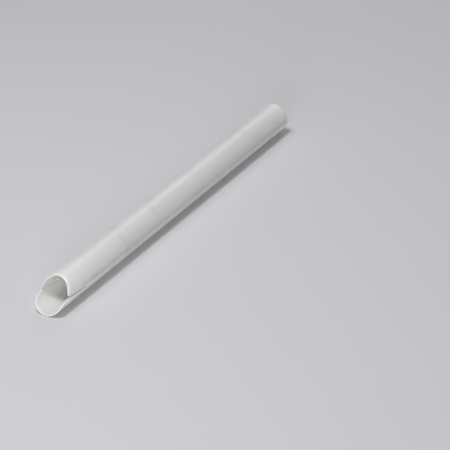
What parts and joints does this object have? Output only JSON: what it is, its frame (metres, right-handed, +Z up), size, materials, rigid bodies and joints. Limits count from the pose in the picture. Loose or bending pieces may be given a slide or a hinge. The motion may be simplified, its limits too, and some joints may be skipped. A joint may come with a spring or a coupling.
{
  "type": "tree guard tube",
  "caption": "Rigid white split tube that closes round a young trunk: a lower half shell with a tongue and an upper half shell with a slanted mouth, hinged along one side.",
  "frame": {"origin": "on the tube's axis, at the plain square end", "axes": "+X along the tube's axis and out of the plain end, the tongue at -X; +Z up with the tongue underneath, as the tube lies on a floor; the hinge is on +Y"},
  "size_m": [0.6096, 0.0461, 0.0445],
  "materials": {
    "white_pvc": "satin, moulded white PVC"
  },
  "bodies": {
    "trough": {"tongue_shell": "white_pvc"},
    "cover": {"cover_shell": "white_pvc"}
  },
  "joints": [
    {"name": "cover_hinge", "type": "hinge", "parent": "trough", "child": "cover", "pos_m": [-0.28, 0.0224, -0.0012], "axis": [-1, 0, 0], "range_deg": [0, 90]}
  ]
}
